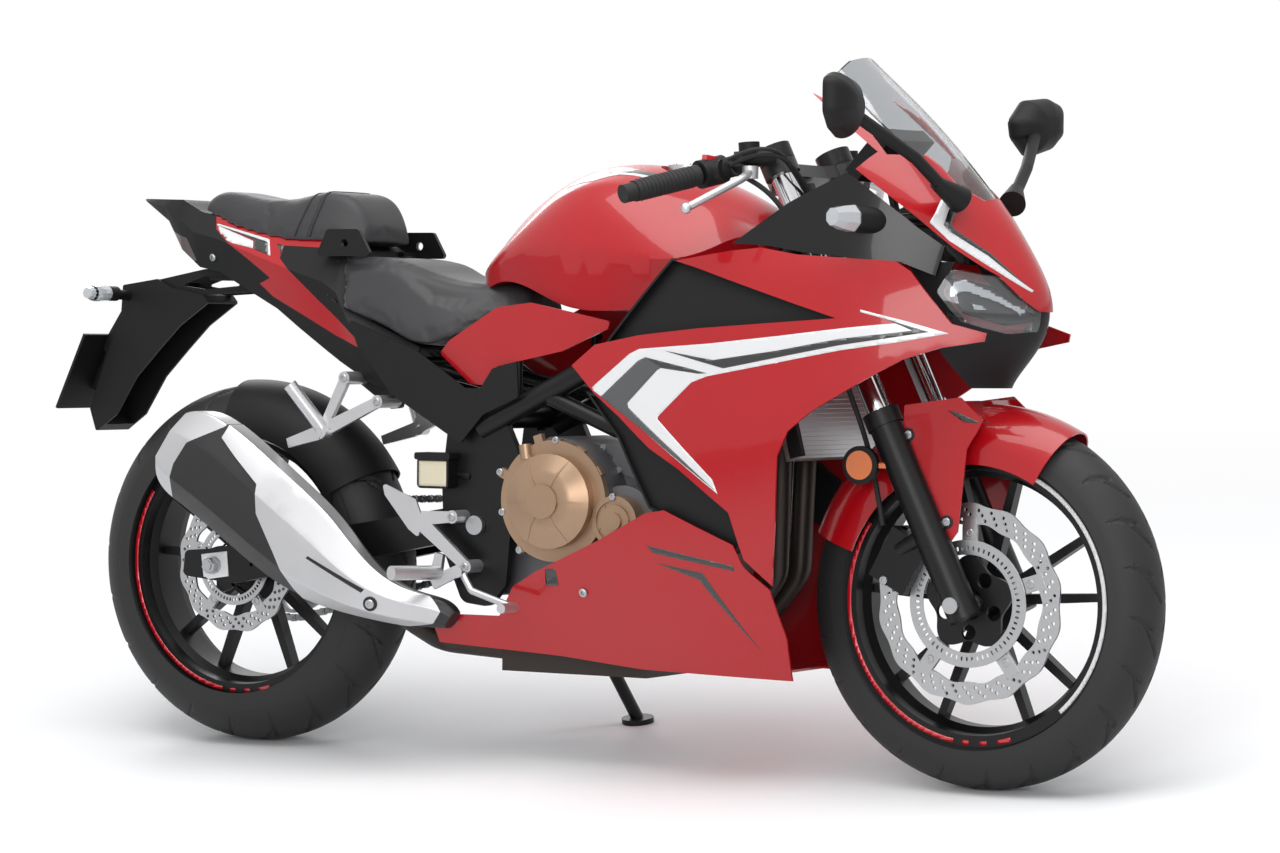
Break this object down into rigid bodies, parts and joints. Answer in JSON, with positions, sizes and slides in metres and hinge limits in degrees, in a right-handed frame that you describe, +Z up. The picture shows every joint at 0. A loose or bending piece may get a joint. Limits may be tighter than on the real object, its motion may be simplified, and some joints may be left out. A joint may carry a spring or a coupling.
{
  "type": "sport bike",
  "caption": "Fully faired middleweight road motorcycle leaning on its side stand, with turning wheels, steering, folding stand and hinged fuel lid.",
  "frame": {"origin": "bottom centre of the bounding box of the parked bike, on the ground", "axes": "+X forward along the bike, +Y to the rider's left, +Z up; the bike leans to its left on its side stand"},
  "size_m": [2.0928, 0.8381, 1.1714],
  "materials": {
    "red_plastic": "gloss painted plastic",
    "red_metal": "gloss paint",
    "black_plastic": "fine grain",
    "black_gloss": "gloss",
    "black_metal": "satin black paint",
    "grey_metal": "satin grey paint",
    "silver": "satin",
    "cast_grey": "painted casting",
    "bronze": "satin bronze paint",
    "steel": "brushed",
    "chrome": "polished",
    "tyre": "rubber",
    "rubber": "soft rubber",
    "seat_cover": "grained",
    "clear": "clear plastic",
    "lens": "clear lens",
    "red_lens": "dark red lens",
    "amber": "amber reflector"
  },
  "bodies": {
    "bike": {"main_frame": "black_metal", "swingarm": "black_metal", "rear_axles": "steel", "chain": "steel", "rear_hugger": "black_plastic", "seat_rails": "black_metal", "engine_block": "cast_grey", "clutch_cover": "bronze", "exhaust_pipes": "steel", "muffler": "grey_metal", "muffler_cap": "silver", "muffler_shield": "silver", "radiator": "silver", "side_fairings": "red_plastic", "side_inners": "black_plastic", "fairing_stays": "black_metal", "upper_side_panels": "black_gloss", "belly_pan": "red_plastic", "nose_cowl": "red_plastic", "windscreen": "clear", "headlights": "lens", "nose_mask": "black_plastic", "instrument_panel": "black_plastic", "mirrors": "black_plastic", "fuel_tank": "red_metal", "tank_covers": "red_plastic", "rider_seat": "seat_cover", "pillion_seat": "seat_cover", "tail_cowl": "red_plastic", "tail_base": "black_plastic", "side_covers": "black_plastic", "strap_brackets": "black_metal", "tail_light": "red_lens", "rear_brake": "black_metal", "pedals": "silver", "plate_holder": "black_plastic", "indicators": "black_plastic", "rider_footrests": "silver", "pillion_footrests": "silver"},
    "steering": {"fork_legs": "black_metal", "fork_tubes": "chrome", "yokes": "grey_metal", "handlebars": "black_metal", "grips": "rubber", "bar_switches": "black_plastic", "levers": "silver", "front_fender": "red_plastic", "front_caliper": "black_metal", "front_axle": "steel", "fork_reflectors": "amber"},
    "front_wheel": {"front_tyre": "tyre", "front_rim": "black_metal", "front_disc": "steel"},
    "rear_wheel": {"rear_tyre": "tyre", "rear_rim": "black_metal", "rear_disc": "steel", "rear_sprocket": "steel"},
    "side_stand": {"side_stand": "black_metal"},
    "fuel_lid": {"fuel_lid": "silver"}
  },
  "joints": [
    {"name": "steering", "type": "hinge", "parent": "bike", "child": "steering", "pos_m": [0.43538, -0.03309, 0.85548], "axis": [-0.4303, 0.149, 0.8903], "range_deg": [-31, 31]},
    {"name": "front_wheel_spin", "type": "hinge", "parent": "steering", "child": "front_wheel", "pos_m": [0.74656, -0.12659, 0.29671], "axis": [0, 0.9863, -0.165], "continuous": true},
    {"name": "rear_wheel_spin", "type": "hinge", "parent": "bike", "child": "rear_wheel", "pos_m": [-0.66344, -0.1246, 0.30882], "axis": [0, 0.9863, -0.165], "continuous": true},
    {"name": "side_stand_fold", "type": "hinge", "parent": "bike", "child": "side_stand", "pos_m": [-0.12445, 0.02267, 0.26176], "axis": [-0.0117, 0.9661, 0.2577], "range_deg": [0, 96.2]},
    {"name": "fuel_lid_hinge", "type": "hinge", "parent": "bike", "child": "fuel_lid", "pos_m": [0.22769, -0.01171, 0.98326], "axis": [0, 0.9863, -0.165], "range_deg": [0, 90]}
  ]
}
